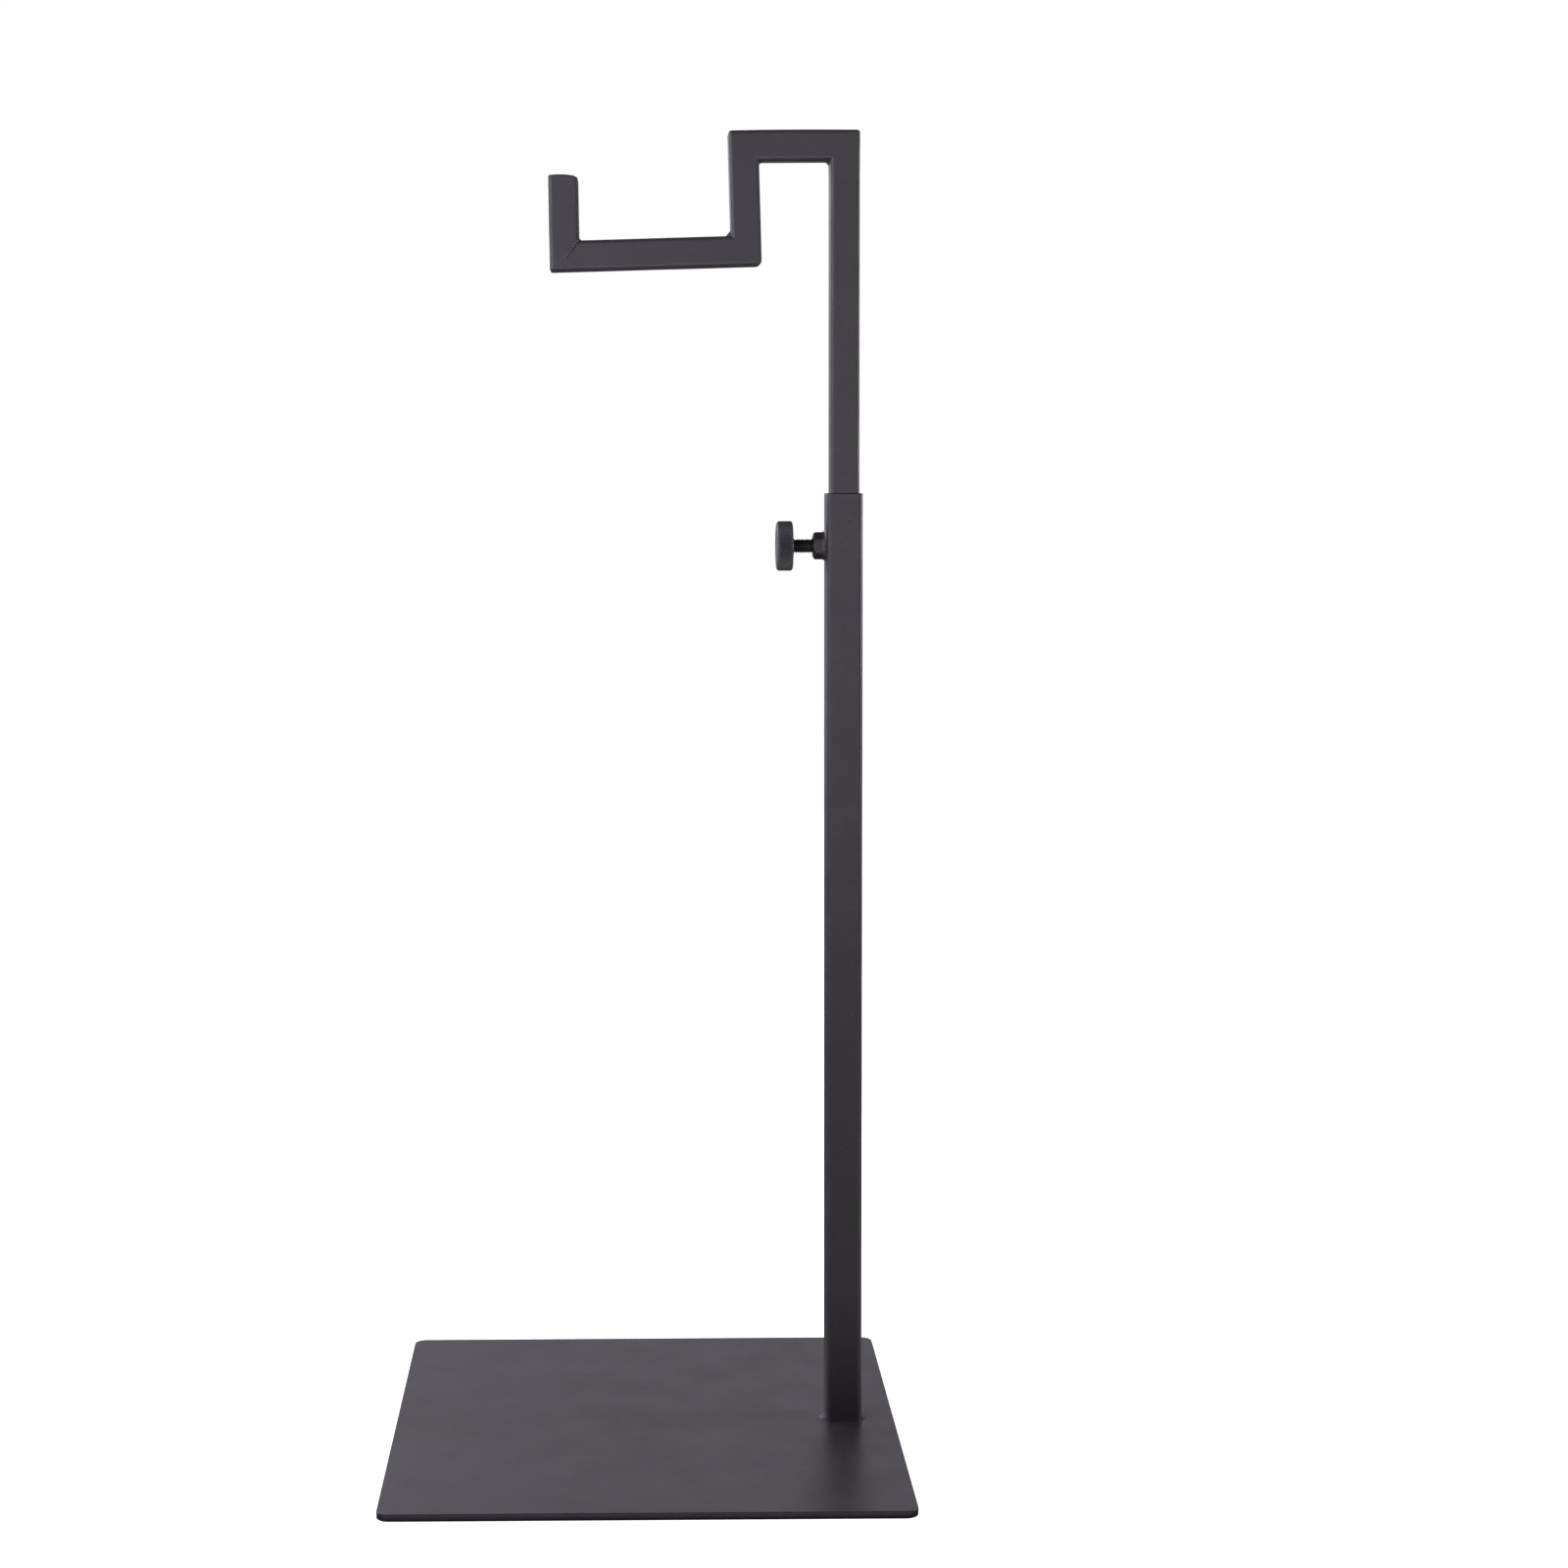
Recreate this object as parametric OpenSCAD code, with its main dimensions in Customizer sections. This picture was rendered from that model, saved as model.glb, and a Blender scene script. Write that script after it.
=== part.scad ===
// Height-adjustable counter-top display stand with one square hook.
// A flat steel plate carries a square outer tube near its right edge. A
// smaller square tube telescopes in it and ends in a goose-neck of mitred
// square bars: a level top bar, a riser that drops from it, a hook bar and an
// upturned tip. A knurled thumbscrew in a nut welded to the outer tube's left
// wall presses on the inner tube and holds the height.
// Millimetres. +Z up, +X right (post side), -X hook side, -Y front.
// Origin at the centre of the base plate's underside.

/* [Base plate] */
// Width of the plate, left to right
base_w = 210; // [190:2:300]
// Depth of the plate, front to back
base_d = 210; // [120:2:300]
// Thickness of the plate
base_t = 3; // [2:0.5:8]
// Radius of the plate's four corners
base_r = 5; // [1:1:30]
// Distance from the plate's centre to the outer tube's axis
post_x = 83.6; // [40:0.2:84]

/* [Outer tube] */
// Outside width of the square outer tube
tube_w = 15; // [15:0.5:20]
// Wall thickness of the outer tube
tube_wall = 1.2; // [1:0.1:1.2]
// Outside corner radius of the outer tube
tube_r = 2.0; // [0.6:0.1:2]
// Length of the outer tube above the plate
tube_len = 390; // [300:5:450]
// Leg of the weld beads along the two sides of the tube's foot
foot_leg = 2.2; // [1:0.1:3]
// Length of the weld beads at the tube's foot
foot_len = 7.0; // [6:0.2:11]

/* [Upper post and hook] */
// Outside width of the square bar of the upper post and hook
bar_w = 12; // [10:0.5:12]
// Wall thickness of that bar
bar_wall = 1.2; // [0.8:0.1:2]
// Outside corner radius of that bar
bar_r = 1.5; // [0.6:0.1:2]
// Height of the top bar's underside above the outer tube's mouth
post_rise = 134.5; // [60:0.5:200]
// Length of the upper post inside the outer tube
post_insert = 153.5; // [80:0.5:250]
// Sideways set of the upper post, as the thumbscrew pushes it
post_shift = 0.2; // [0:0.05:0.25]
// Top bar, centre of the post to centre of the riser
top_run = 41.1; // [36:0.1:60]
// Riser, centre of the top bar to centre of the hook bar
riser_run = 42.1; // [30:0.1:70]
// Hook bar, centre of the riser to centre of the tip
hook_run = 73.9; // [45:0.1:85]
// Upturned tip, centre of the hook bar to the tip's end
tip_run = 32.7; // [20:0.1:60]
// Lean of the riser from plumb, in degrees
riser_lean = 1.5; // [0:0.1:4]
// Droop of the hook bar from level, in degrees
hook_droop = 1.3; // [0:0.1:4]
// Lean of the tip from plumb, in degrees
tip_lean = 0.7; // [0:0.1:4]
// Thickness of the plate that closes the tip
cap_t = 1.5; // [1:0.1:3]
// Leg of the inside corner weld between post and top bar
leg_post = 1.7; // [0.8:0.1:3]
// Leg of the inside corner weld between top bar and riser
leg_riser = 1.5; // [0.8:0.1:3]
// Leg of the inside corner weld between riser and hook bar
leg_hook = 2.2; // [0.8:0.1:3]
// Leg of the inside corner weld between hook bar and tip
leg_tip = 1.2; // [0.8:0.1:3]

/* [Thumbscrew] */
// Distance of the screw's axis below the outer tube's mouth
screw_drop = 21.5; // [12:0.5:40]
// Thread's major diameter (M6)
screw_d = 6; // [5:0.5:6]
// Length of the screw from the head's face to its point
screw_len = 15.15; // [14.5:0.05:17]
// Diameter of the knurled head
head_d = 20.4; // [16:0.2:26]
// Thickness of the knurled head
head_t = 6.6; // [5:0.2:9]
// Edge rounding of the head
head_r = 1.3; // [0.6:0.1:2]
// Number of straight knurl grooves around the head
knurl_n = 72; // [36:4:80]
// Depth of the knurl grooves
knurl_depth = 0.3; // [0.1:0.05:0.4]
// Width across flats of the welded nut (M6)
nut_af = 10; // [10:0.5:11]
// Thickness of the welded nut
nut_t = 5.2; // [4.5:0.1:6]
// Height of the weld ring that joins the nut to the tube
ring_h = 2.0; // [1:0.1:3]
// Width of that weld ring at the tube, from the nut's corners
ring_w = 0.9; // [0.5:0.1:1.2]

/* [Hidden] */
$fn = 64;
coat = [0.2, 0.195, 0.205];
coat_2 = [0.25, 0.245, 0.255];
bead = [0.3, 0.295, 0.305];
oxide = [0.1, 0.1, 0.11];

mouth_z = base_t + tube_len;              // outer tube's mouth
axis_x = post_x + post_shift;             // upper post's axis
face_x = post_x - tube_w / 2;             // outer tube's left face
screw_z = mouth_z - screw_drop;           // thumbscrew's axis
fit = 0.05;                               // radial running clearance
hb = bar_w / 2;

// the screw's point stops a running clearance short of the upper post
point_x = axis_x - hb - fit;
head_x = point_x - screw_len;             // head's inner face

// a direction in the XZ plane, from +X toward +Z
function dir(a) = [cos(a), sin(a)];
function left_of(u) = [-u[1], u[0]];
function dot2(u, v) = u[0] * v[0] + u[1] * v[1];

// headings of the five runs, from the post's foot to the tip's end
h_post = 90;
h_top = 180;
h_riser = 270 + riser_lean;
h_hook = 180 + hook_droop;
h_tip = 90 + tip_lean;

// corner centres of the mitred frame
c0 = [axis_x, mouth_z - post_insert];
c1 = [axis_x, mouth_z + post_rise + hb];
c2 = c1 + top_run * dir(h_top);
c3 = c2 + riser_run * dir(h_riser);
c4 = c3 + hook_run * dir(h_hook);
c5 = c4 + (tip_run - cap_t) * dir(h_tip);
c6 = c4 + tip_run * dir(h_tip);

// a mitre line halves the corner between two headings
function mitre(h1, h2) = (h1 + h2) / 2 + 90;
m1 = mitre(h_post, h_top);
m2 = mitre(h_top, h_riser);
m3 = mitre(h_riser, h_hook);
m4 = mitre(h_hook, h_tip);

// point on the mitre line through c that lies s to the left of heading h
function on_mitre(c, m, h, s) =
    c + dir(m) * (s / dot2(dir(m), left_of(dir(h))));

module rounded(w, d, r) {
    union() {
        square([w - 2 * r, d], center = true);
        square([w, d - 2 * r], center = true);
        for (x = [-1, 1], y = [-1, 1])
            translate([x * (w / 2 - r), y * (d / 2 - r)]) circle(r);
    }
}

module ring(w, wall, r) {
    difference() {
        rounded(w, w, r);
        square(w - 2 * wall, center = true);
    }
}

// draws a shape of the XZ plane as a slab, depth d about the middle plane
module slab(d) {
    rotate([90, 0, 0]) linear_extrude(d, center = true) children();
}

// one hollow square bar from a to b along heading h, cut along lines ma and mb
module run(a, b, h, ma, mb) {
    len = norm(b - a);
    far = bar_w;
    intersection() {
        translate([a[0], 0, a[1]]) rotate([0, 90 - h, 0])
            translate([0, 0, -far])
                linear_extrude(len + 2 * far) ring(bar_w, bar_wall, bar_r);
        slab(2 * bar_w)
            polygon([on_mitre(a, ma, h, far), on_mitre(b, mb, h, far),
                     on_mitre(b, mb, h, -far), on_mitre(a, ma, h, -far)]);
    }
}

// concave bead in the inside corner q between faces that leave along u and v
module corner_bead(q, u, v, leg) {
    half = acos(dot2(u, v)) / 2;
    bis = (u + v) / norm(u + v);
    rad = 1.6 * leg;
    gap = leg * cos(half) + sqrt(rad * rad - pow(leg * sin(half), 2));
    slab(bar_w - 2 * bar_r)
        difference() {
            polygon([q, q + leg * u, q + leg * v]);
            translate(q + gap * bis) circle(rad);
        }
}

module base_plate() {
    color(coat) linear_extrude(base_t) rounded(base_w, base_d, base_r);
}

module outer_tube() {
    color(coat_2)
    difference() {
        translate([post_x, 0, base_t])
            linear_extrude(tube_len) ring(tube_w, tube_wall, tube_r);
        translate([face_x - 1, 0, screw_z]) rotate([0, 90, 0])
            cylinder(h = tube_wall + 2, d = screw_d + 1);
    }
}

// quarter-round bead with rounded ends, on one side of the tube's foot
module foot_bead(side) {
    translate([post_x + side * tube_w / 2, 0, base_t])
        intersection() {
            union() {
                rotate([90, 0, 0])
                    cylinder(h = foot_len - 2 * foot_leg, r = foot_leg, center = true);
                for (y = [-1, 1])
                    translate([0, y * (foot_len / 2 - foot_leg), 0])
                        sphere(foot_leg);
            }
            translate([side > 0 ? 0 : -4, -10, 0]) cube([4, 20, 4]);
        }
}

module foot_weld_left() { color(bead) foot_bead(-1); }
module foot_weld_right() { color(bead) foot_bead(1); }

// hexagon prism of the nut, corners up and down, from the tube's face outward
module nut_prism(h) {
    translate([face_x, 0, screw_z]) rotate([0, -90, 0])
        cylinder(h = h, d = nut_af / cos(30), $fn = 6);
}

module clamp_nut() {
    corner = nut_af / cos(30) / 2;
    cut = corner - nut_af / 2;
    color(coat)
    difference() {
        intersection() {
            nut_prism(nut_t);
            translate([face_x, 0, screw_z]) rotate([0, -90, 0])
                rotate_extrude()
                    polygon([[0, 0], [corner + 0.2, 0],
                             [corner + 0.2, nut_t - cut],
                             [nut_af / 2 - 0.1, nut_t], [0, nut_t]]);
        }
        translate([face_x - nut_t - 1, 0, screw_z]) rotate([0, 90, 0])
            cylinder(h = nut_t + 2, d = screw_d + 2 * fit);
    }
}

module nut_weld() {
    corner = nut_af / cos(30) / 2;
    out = corner + ring_w;
    color(bead)
    intersection() {
        difference() {
            translate([face_x, 0, screw_z]) rotate([0, -90, 0])
                rotate_extrude()
                    difference() {
                        polygon([[nut_af / 2 - 0.5, 0], [out, 0],
                                 [corner + 0.1, ring_h],
                                 [nut_af / 2 - 0.5, ring_h]]);
                        translate([out + 1.3, ring_h + 0.5]) circle(2.2);
                    }
            translate([1, 0, 0]) nut_prism(nut_t + 2);
        }
        translate([face_x - 5, -tube_w / 2 + tube_r, screw_z - 10])
            cube([5, tube_w - 2 * tube_r, 20]);
    }
}

// the screw is drawn about +Z, from the head's inner face, and laid along +X
module screw_axis() {
    translate([head_x, 0, screw_z]) rotate([0, 90, 0]) children();
}

peg_d = 5;
peg_l = 4;

module screw_stud() {
    r = screw_d / 2;
    color(oxide)
    screw_axis()
        rotate_extrude()
            polygon([[0, -peg_l], [peg_d / 2, -peg_l], [peg_d / 2, fit],
                     [r + 0.25, fit], [r + 0.25, 0.6], [r, 0.9],
                     [r, screw_len - 0.7], [r - 0.7, screw_len],
                     [0, screw_len]]);
}

module screw_head() {
    r = head_d / 2;
    color(oxide)
    screw_axis()
        difference() {
            rotate_extrude()
                translate([0, -head_t])
                    union() {
                        square([r - head_r, head_t]);
                        translate([0, head_r]) square([r, head_t - 2 * head_r]);
                        for (y = [head_r, head_t - head_r])
                            translate([r - head_r, y]) circle(head_r);
                    }
            translate([0, 0, -peg_l - 0.2]) cylinder(h = peg_l + 1, d = peg_d + 2 * fit);
            for (i = [0 : knurl_n - 1])
                rotate(i * 360 / knurl_n)
                    translate([r + 0.5 - knurl_depth, 0, -head_t / 2])
                        rotate(45)
                            cube([sqrt(0.5), sqrt(0.5), head_t + 2], center = true);
        }
}

module inner_post() { color(coat) run(c0, c1, h_post, 180, m1); }
module top_bar() { color(coat_2) run(c1, c2, h_top, m1, m2); }
module riser_bar() { color(coat) run(c2, c3, h_riser, m2, m3); }
module hook_bar() { color(coat_2) run(c3, c4, h_hook, m3, m4); }
module hook_tip() { color(coat) run(c4, c5, h_tip, m4, h_tip + 90); }

module tip_cap() {
    color(bead)
    translate([c5[0], 0, c5[1]]) rotate([0, 90 - h_tip, 0])
        linear_extrude(cap_t) rounded(bar_w, bar_w, bar_r);
}

// inside corners: post and top bar on the left, riser on its right, and so on
module weld_post_top() {
    color(bead)
    corner_bead(on_mitre(c1, m1, h_post, hb), -dir(h_post), dir(h_top), leg_post);
}
module weld_top_riser() {
    color(bead)
    corner_bead(on_mitre(c2, m2, h_top, hb), -dir(h_top), dir(h_riser), leg_riser);
}
module weld_riser_hook() {
    color(bead)
    corner_bead(on_mitre(c3, m3, h_riser, -hb), -dir(h_riser), dir(h_hook), leg_hook);
}
module weld_hook_tip() {
    color(bead)
    corner_bead(on_mitre(c4, m4, h_hook, -hb), -dir(h_hook), dir(h_tip), leg_tip);
}

base_plate();
outer_tube();
foot_weld_left();
foot_weld_right();
clamp_nut();
nut_weld();
screw_stud();
screw_head();
inner_post();
top_bar();
riser_bar();
hook_bar();
hook_tip();
tip_cap();
weld_post_top();
weld_top_riser();
weld_riser_hook();
weld_hook_tip();
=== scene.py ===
import math

import bmesh
import bpy
from mathutils import Matrix, Vector, noise


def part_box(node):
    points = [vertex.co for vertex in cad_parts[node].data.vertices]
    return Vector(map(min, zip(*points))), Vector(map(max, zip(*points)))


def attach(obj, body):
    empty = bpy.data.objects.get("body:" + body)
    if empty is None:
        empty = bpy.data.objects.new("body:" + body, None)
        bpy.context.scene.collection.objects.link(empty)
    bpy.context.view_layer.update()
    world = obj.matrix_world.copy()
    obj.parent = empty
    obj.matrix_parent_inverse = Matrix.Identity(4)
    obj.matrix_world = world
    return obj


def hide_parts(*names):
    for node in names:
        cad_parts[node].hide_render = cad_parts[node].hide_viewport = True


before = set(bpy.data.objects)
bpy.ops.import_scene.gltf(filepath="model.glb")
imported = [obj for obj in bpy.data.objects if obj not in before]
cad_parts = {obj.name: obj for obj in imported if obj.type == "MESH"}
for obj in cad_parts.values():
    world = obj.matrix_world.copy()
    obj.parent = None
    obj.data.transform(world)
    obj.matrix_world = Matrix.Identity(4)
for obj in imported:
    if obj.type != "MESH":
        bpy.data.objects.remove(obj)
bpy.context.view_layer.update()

scene = bpy.context.scene
scene.view_settings.view_transform = "Standard"
scene.view_settings.look = "None"
MM = 0.001

# ---------------------------------------------------------------- camera
# Level with the middle of the stand's upper half, in front of it, and
# pitched down 5.2 degrees.
YAW, PITCH, ROLL = 0.00126873, 0.09055225, -0.00620384
cy, sy, cp, sp = math.cos(YAW), math.sin(YAW), math.cos(PITCH), math.sin(PITCH)
fwd = Vector((sy * cp, cy * cp, -sp))
right = Vector((cy, -sy, 0.0))
up = right.cross(fwd)
right_r = math.cos(ROLL) * right + math.sin(ROLL) * up
up_r = -math.sin(ROLL) * right + math.cos(ROLL) * up
cam_data = bpy.data.cameras.new("camera")
cam_data.lens = 62.82
cam_data.sensor_width = 36.0
cam_data.shift_x = 0.1
cam_data.shift_y = -0.05
cam_data.clip_start = 0.05
cam_data.clip_end = 50.0
camera = bpy.data.objects.new("camera", cam_data)
scene.collection.objects.link(camera)
pose = Matrix((
    (right_r.x, up_r.x, -fwd.x, -0.0071835),
    (right_r.y, up_r.y, -fwd.y, -1.127076),
    (right_r.z, up_r.z, -fwd.z, 0.408302),
    (0.0, 0.0, 0.0, 1.0)))
camera.matrix_world = pose
scene.camera = camera

# ---------------------------------------------------------------- the frame's dimensions, in mm
BASE_W, BASE_T, BASE_R = 210.0, 3.0, 5.0
POST_X, TUBE_W, TUBE_WALL, TUBE_R, TUBE_LEN = 83.6, 15.0, 1.2, 2.0, 390.0
BAR_W, BAR_WALL, BAR_R = 12.0, 1.2, 1.5
COAT = 0.1                                              # the powder coat stands this far off the steel
MOUTH_Z = BASE_T + TUBE_LEN
AXIS_X = POST_X + 0.2
FACE_X = POST_X - TUBE_W / 2
SCREW_Z = MOUTH_Z - 21.5
HB = BAR_W / 2
CAP_T = 1.5
POINT_X = AXIS_X - HB - 0.05
HEAD_X = POINT_X - 15.15
HEAD_D, HEAD_T = 20.4, 6.6
NUT_AF, NUT_T = 10.0, 5.2

H_POST, H_TOP, H_RISER, H_HOOK, H_TIP = 90.0, 180.0, 271.5, 181.3, 90.7


def heading(a):
    a = math.radians(a)
    return Vector((math.cos(a), math.sin(a)))


def left_of(u):
    return Vector((-u.y, u.x))


def mitre(h1, h2):
    return (h1 + h2) / 2 + 90


C0 = Vector((AXIS_X, MOUTH_Z - 153.5))
C1 = Vector((AXIS_X, MOUTH_Z + 134.5 + HB))
C2 = C1 + 41.1 * heading(H_TOP)
C3 = C2 + 42.1 * heading(H_RISER)
C4 = C3 + 73.9 * heading(H_HOOK)
C5 = C4 + (32.7 - CAP_T) * heading(H_TIP)
C6 = C4 + 32.7 * heading(H_TIP)
M1, M2 = mitre(H_POST, H_TOP), mitre(H_TOP, H_RISER)
M3, M4 = mitre(H_RISER, H_HOOK), mitre(H_HOOK, H_TIP)


def on_mitre(c, m, h, s):
    d = heading(m)
    return c + d * (s / d.dot(left_of(heading(h))))


# every CAD node is where these numbers say
for _node, _low, _high in (
        ("outer_tube", (FACE_X, -7.5, 3.0), (FACE_X + 15, 7.5, 393.0)),
        ("top_bar", (C2.x - 7, -6, C1.y - 6.2), (C1.x + 6.1, 6, C1.y + 6.1)),
        ("screw_head", (HEAD_X - HEAD_T, -10.3, SCREW_Z - 10.3), (HEAD_X, 10.3, SCREW_Z + 10.3))):
    _lo, _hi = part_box(_node)
    for _i in range(3):
        if _lo[_i] * 1000 < _low[_i] - 0.6 or _hi[_i] * 1000 > _high[_i] + 0.6:
            raise RuntimeError("the packed frame and this script disagree at " + _node)

# ---------------------------------------------------------------- mesh helpers


class Build:
    """Collects vertices in mm, with an edge weight for the finish (on the coat: edge wear and a painted edge
    highlight), and faces.
    """

    def __init__(self):
        self.v, self.e, self.f = [], [], []

    def point(self, p, edge=0.0):
        self.v.append(Vector(p))
        self.e.append(edge)
        return len(self.v) - 1

    def ring(self, pts, edges=None):
        edges = edges or [0.0] * len(pts)
        return [self.point(p, w) for p, w in zip(pts, edges)]

    def skin(self, a, b):
        n = len(a)
        for i in range(n):
            self.f.append((a[i], a[(i + 1) % n], b[(i + 1) % n], b[i]))

    def cap(self, a):
        self.f.append(tuple(a))

    def fan(self, a, centre):
        n = len(a)
        for i in range(n):
            self.f.append((a[i], a[(i + 1) % n], centre))


def wobble(p, amp=0.035):
    """Slow unevenness of drawn tube and coat, the same field for every piece so that neighbours still meet."""
    q = p * 0.045
    n1 = Vector((noise.noise(q + Vector((7.1, 0, 0))), noise.noise(q + Vector((0, 19.3, 0))), noise.noise(q + Vector((0, 0, 31.7)))))
    q = p * 0.31
    n2 = Vector((noise.noise(q + Vector((3.7, 0, 0))), noise.noise(q + Vector((0, 11.9, 0))), noise.noise(q + Vector((0, 0, 23.3)))))
    return p + n1 * amp + n2 * (amp * 0.35)


def finish_piece(name, b, body, material, nodes=(), sharp=38.0, warp=None, uneven=0.035):
    mesh = bpy.data.meshes.new(name)
    pts = []
    for p in b.v:
        q = Vector(p)
        if warp:
            q = warp(q)
        if uneven:
            q = wobble(q, uneven)
        pts.append(q * MM)
    mesh.from_pydata(pts, [], b.f)
    mesh.validate(verbose=False)
    edge = mesh.attributes.new("edge_wear_and_sheen", "FLOAT", "POINT")
    edge.data.foreach_set("value", b.e)
    bm = bmesh.new()
    bm.from_mesh(mesh)
    bmesh.ops.recalc_face_normals(bm, faces=bm.faces)
    bm.to_mesh(mesh)
    bm.free()
    for poly in mesh.polygons:
        poly.use_smooth = True
    mesh.set_sharp_from_angle(angle=math.radians(sharp))
    obj = bpy.data.objects.new(name, mesh)
    scene.collection.objects.link(obj)
    mesh.materials.append(material)
    mod = obj.modifiers.new("normals", "WEIGHTED_NORMAL")
    mod.keep_sharp = True
    mod.weight = 60
    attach(obj, body)
    if nodes:
        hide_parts(*nodes)
    return obj


def square_profile(w, r, seg=8, hold=0.18, mids=2):
    """Rounded square as (across, depth, edge weight), anticlockwise, with holding points beside each arc."""
    out, h = [], w / 2
    for k in range(4):
        a0 = math.radians(90 * k)
        cx, cyy = h - r, h - r
        arc = []
        for i in range(seg + 1):
            a = math.radians(90) * i / seg
            # the arcs get a high edge weight: a paler tone on the rounded corners, partly wear and partly a painted
            # highlight
            arc.append((cx + r * math.cos(a), cyy + r * math.sin(a), 0.35 + 0.65 * math.sin(math.pi * i / seg)))
        arc = [(h, cyy - hold, 0.0)] + arc + [(cx - hold, h, 0.0)]
        run = 2 * (h - r - hold)
        for i in range(1, mids + 1):
            arc.append((cx - hold - run * i / (mids + 1), h, 0.0))
        for x, y, e in arc:
            out.append((x * math.cos(a0) - y * math.sin(a0), x * math.sin(a0) + y * math.cos(a0), e))
    return out


PROFILE = square_profile(BAR_W + 2 * COAT, BAR_R)


def inset(profile, d):
    """The profile drawn in by d toward its middle, on both sides alike."""
    h = max(abs(p[0]) for p in profile)
    k = (h - d) / h
    return [(s * k, y * k, e) for s, y, e in profile]


# the frame's outer corners, each a little rounded where the weld was dressed
def corner_warp(q, f1, f2, radius):
    det = f1.x * f2.y - f1.y * f2.x

    def warp(p):
        d = Vector((p.x - q.x, p.z - q.y))
        a = (d.x * f2.y - d.y * f2.x) / det
        b = (f1.x * d.y - f1.y * d.x) / det
        if a >= radius or b >= radius or a < -1 or b < -1:
            return p
        u, v = min(1.0, (radius - a) / radius), min(1.0, (radius - b) / radius)
        u2, v2 = u * math.sqrt(1 - v * v / 2), v * math.sqrt(1 - u * u / 2)
        r = q + f1 * (radius - radius * u2) + f2 * (radius - radius * v2)
        return Vector((r.x, p.y, r.y))
    return warp


Q_POST_TOP = on_mitre(C1, M1, H_POST, -HB)
Q_TOP_RISER = on_mitre(C2, M2, H_TOP, -HB)
Q_RISER_HOOK = on_mitre(C3, M3, H_RISER, HB)
Q_HOOK_TIP = on_mitre(C4, M4, H_HOOK, HB)
TIP_U = heading(H_TIP)
TIP_N = left_of(TIP_U)
Q_TIP_RIGHT = C6 - TIP_N * HB
Q_TIP_LEFT = C6 + TIP_N * HB
corners = [
    corner_warp(Q_POST_TOP, -heading(H_POST), heading(H_TOP), 1.1),
    corner_warp(Q_TOP_RISER, -heading(H_TOP), heading(H_RISER), 1.2),
    corner_warp(Q_RISER_HOOK, -heading(H_RISER), heading(H_HOOK), 1.9),
    corner_warp(Q_HOOK_TIP, -heading(H_HOOK), heading(H_TIP), 0.8),
    corner_warp(Q_TIP_RIGHT, -TIP_U, TIP_N, 2.3),
    corner_warp(Q_TIP_LEFT, -TIP_U, -TIP_N, 0.6)]


def smooth(x):
    x = max(0.0, min(1.0, x))
    return x * x * (3 - 2 * x)


def frame_warp(p):
    # the tip's closed end is crowned: highest left of its middle, lower at the right
    d = Vector((p.x, p.z)) - C6
    t, s = d.dot(TIP_U), d.dot(TIP_N)
    if -6 < t < 1 and abs(s) < 8:
        w = smooth((t + 5.0) / 5.0)
        drop = 0.034 * (s - 1.2) ** 2 if s < 1.2 else 0.012 * (s - 1.2) ** 2
        shift = TIP_U * (-0.55 * drop * w)
        p = Vector((p.x + shift.x, p.y, p.z + shift.y))
    for warp in corners:
        p = warp(p)
    # the top bar bows up a trace between its ends
    if p.z > C1.y - 2 and C2.x - 8 < p.x < C1.x + 8:
        k = (p.x - (C1.x + C2.x) / 2) / 26.0
        p = Vector((p.x, p.y, p.z + 0.18 * max(0.0, 1 - k * k) * smooth((p.z - C1.y + 2) / 8)))
    return p


NEAR = (0.0, 0.14, 0.3, 0.5, 0.7, 0.9, 1.1, 1.35, 1.65, 2.0, 2.5, 3.2, 4.2)


def bar(name, a, b, h, ma, mb, seam_b=False):
    """One mitred square bar from a to b. Rings near an end lie along that end's mitre."""
    u, n = heading(h), left_of(heading(h))
    length = (b - a).length

    def slope(m):
        d = heading(m)
        return d.dot(u) / d.dot(n)

    sa, sb = slope(ma), slope(mb)
    rings = [(t, sa) for t in NEAR]
    first, last = NEAR[-1], length - NEAR[-1]
    count = max(2, int((last - first) / 4.0))
    for i in range(1, count):
        f = i / count
        rings.append((first + (last - first) * f, sa + (sb - sa) * f))
    rings += [(length - t, sb) for t in reversed(NEAR)]
    out = Build()
    made = []
    for k, (t, m) in enumerate(rings):
        # At a seam end the outline draws in a trace and the edge weight rises: a paler seam line that partly paints
        # the seam's highlight.
        edge_gap = length - t if seam_b else 9.0
        d = 0.04 * max(0.0, 1 - edge_gap / 0.3)
        prof = inset(PROFILE, d)
        pts, wts = [], []
        for s, y, e in prof:
            p = a + n * s + u * (s * m + t)
            pts.append((p.x, y, p.y))
            wts.append(max(e, 0.8 * max(0.0, 1 - edge_gap / 0.5)))
        made.append(out.ring(pts, wts))
    for r1, r2 in zip(made, made[1:]):
        out.skin(r1, r2)
    out.cap(made[0])
    out.cap(made[-1])
    return out


# ---------------------------------------------------------------- materials


def new_material(name):
    mat = bpy.data.materials.new(name)
    mat.use_nodes = True
    nt = mat.node_tree
    nt.nodes.clear()
    out = nt.nodes.new("ShaderNodeOutputMaterial")
    bsdf = nt.nodes.new("ShaderNodeBsdfPrincipled")
    nt.links.new(bsdf.outputs["BSDF"], out.inputs["Surface"])
    return mat, nt, bsdf


def tex_noise(nt, coord, scale, detail=2.0, rough=0.5, offset=(0, 0, 0)):
    m = nt.nodes.new("ShaderNodeMapping")
    m.inputs["Location"].default_value = offset
    nt.links.new(coord, m.inputs["Vector"])
    t = nt.nodes.new("ShaderNodeTexNoise")
    t.inputs["Scale"].default_value = scale
    t.inputs["Detail"].default_value = detail
    t.inputs["Roughness"].default_value = rough
    nt.links.new(m.outputs["Vector"], t.inputs["Vector"])
    return t.outputs["Fac"]


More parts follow.
